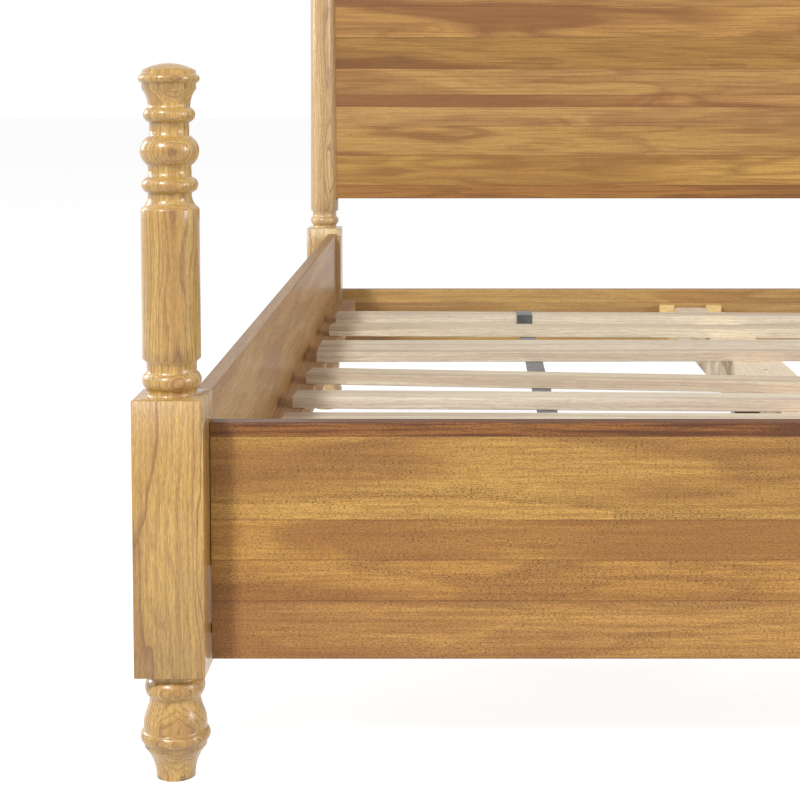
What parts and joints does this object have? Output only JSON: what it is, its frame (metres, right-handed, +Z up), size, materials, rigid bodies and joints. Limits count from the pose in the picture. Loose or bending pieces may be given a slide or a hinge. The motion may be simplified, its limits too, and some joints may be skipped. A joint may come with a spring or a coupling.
{
  "type": "platform bed",
  "caption": "Wooden platform bed with turned posts, a plank headboard and footboard, side rails, a centre beam with a leg, and loose slats on webbing straps.",
  "frame": {"origin": "on the floor, under the middle of the bed's overall width and length", "axes": "+X to the right seen from the foot, +Y from the foot to the head, +Z up"},
  "size_m": [1.68, 2.1676, 1.22],
  "materials": {
    "post_oak": "satin lacquer",
    "footboard_wood": "satin lacquer",
    "headboard_wood": "satin lacquer",
    "head_rail_wood": "satin lacquer",
    "side_rail_wood": "satin lacquer",
    "batten_pine": "planed, unfinished",
    "pocket_pine": "planed, unfinished",
    "slat_pine": "planed, unfinished",
    "webbing": "woven webbing",
    "tack_steel": "plated",
    "leg_dark_wood": "dark stain",
    "nylon": "moulded",
    "zinc_steel": "zinc plated",
    "brass_screws": "yellow plated",
    "beech": "fluted dowel, unfinished"
  },
  "bodies": {
    "root": {"foot_post_left": "post_oak", "foot_post_right": "post_oak", "head_post_left": "post_oak", "head_post_right": "post_oak", "footboard_board_1": "footboard_wood", "footboard_board_2": "footboard_wood", "footboard_board_3": "footboard_wood", "footboard_board_4": "footboard_wood", "footboard_board_5": "footboard_wood", "headboard_board_01": "headboard_wood", "headboard_board_02": "headboard_wood", "headboard_board_03": "headboard_wood", "headboard_board_04": "headboard_wood", "headboard_board_05": "headboard_wood", "headboard_board_06": "headboard_wood", "headboard_board_07": "headboard_wood", "headboard_board_08": "headboard_wood", "headboard_board_09": "headboard_wood", "headboard_board_10": "headboard_wood", "headboard_board_11": "headboard_wood", "head_rail_board_1": "head_rail_wood", "head_rail_board_2": "head_rail_wood", "side_rail_left_board_1": "side_rail_wood", "side_rail_left_board_2": "side_rail_wood", "side_rail_left_board_3": "side_rail_wood", "side_rail_right_board_1": "side_rail_wood", "side_rail_right_board_2": "side_rail_wood", "side_rail_right_board_3": "side_rail_wood", "ledger_left": "batten_pine", "ledger_right": "batten_pine", "rail_cleats": "batten_pine", "beam_bearer": "batten_pine", "beam_cap": "batten_pine", "beam_seat_blocks": "pocket_pine", "beam_cheek_blocks": "pocket_pine", "slat_01": "slat_pine", "slat_02": "slat_pine", "slat_03": "slat_pine", "slat_04": "slat_pine", "slat_05": "slat_pine", "slat_06": "slat_pine", "slat_07": "slat_pine", "slat_08": "slat_pine", "slat_09": "slat_pine", "slat_10": "slat_pine", "slat_strap_left": "webbing", "slat_strap_right": "webbing", "strap_tacks": "tack_steel", "centre_leg": "leg_dark_wood", "leg_glide": "nylon", "leg_bolts": "zinc_steel", "leg_nuts_and_washers": "zinc_steel", "rail_hook_plates": "zinc_steel", "post_slot_plates": "zinc_steel", "short_screws": "brass_screws", "ledger_screws": "brass_screws", "pocket_screws": "brass_screws", "cap_screws": "brass_screws", "dowels": "beech"}
  },
  "joints": []
}
